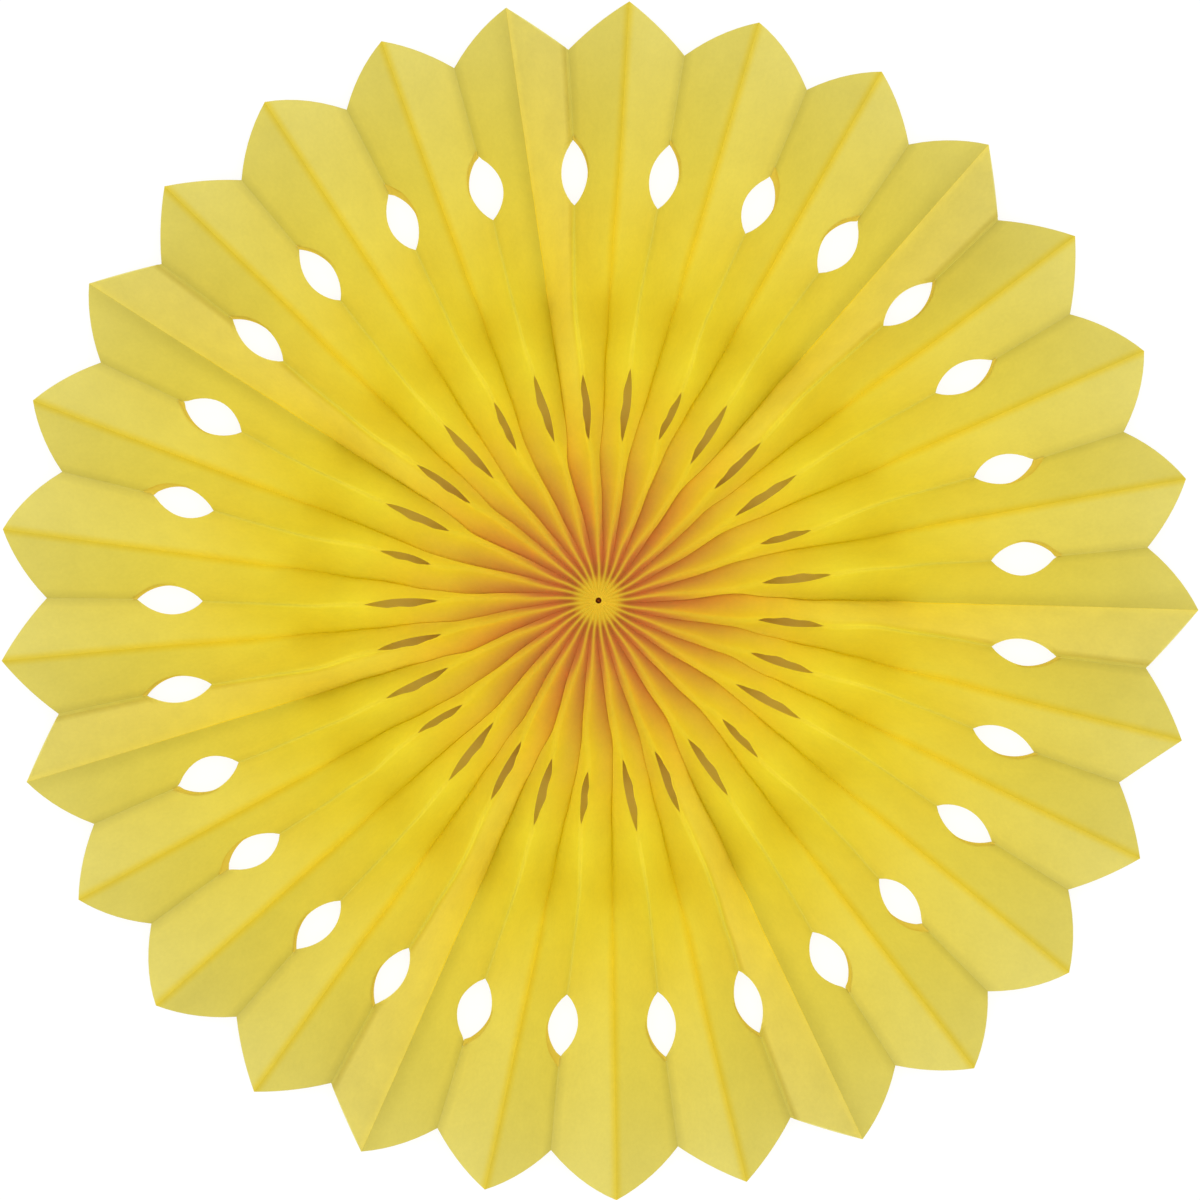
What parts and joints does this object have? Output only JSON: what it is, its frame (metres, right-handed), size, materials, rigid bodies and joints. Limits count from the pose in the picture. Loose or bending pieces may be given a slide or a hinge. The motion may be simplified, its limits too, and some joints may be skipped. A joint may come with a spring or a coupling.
{
  "type": "paper fan medallion",
  "caption": "Round folded tissue paper fan medallion, a hanging party decoration with scalloped rim and cut slots along its folds.",
  "frame": {"origin": "centre of the fan's eye at the level of the back folds, on which the open fan lies", "axes": "+Z through the eye, out of the front face; +Y towards the fan's top edge as seen from the front; +X to the right as seen from the front"},
  "size_m": [0.3989, 0.3997, 0.0255],
  "materials": {
    "tissue": "matt",
    "thread": "matt"
  },
  "bodies": {
    "root": {"tissue_sheet_1": "tissue", "tissue_sheet_2": "tissue", "tissue_sheet_3": "tissue", "tissue_sheet_4": "tissue", "tissue_sheet_5": "tissue", "tissue_sheet_6": "tissue", "tissue_sheet_7": "tissue", "centre_thread": "thread"}
  },
  "joints": []
}
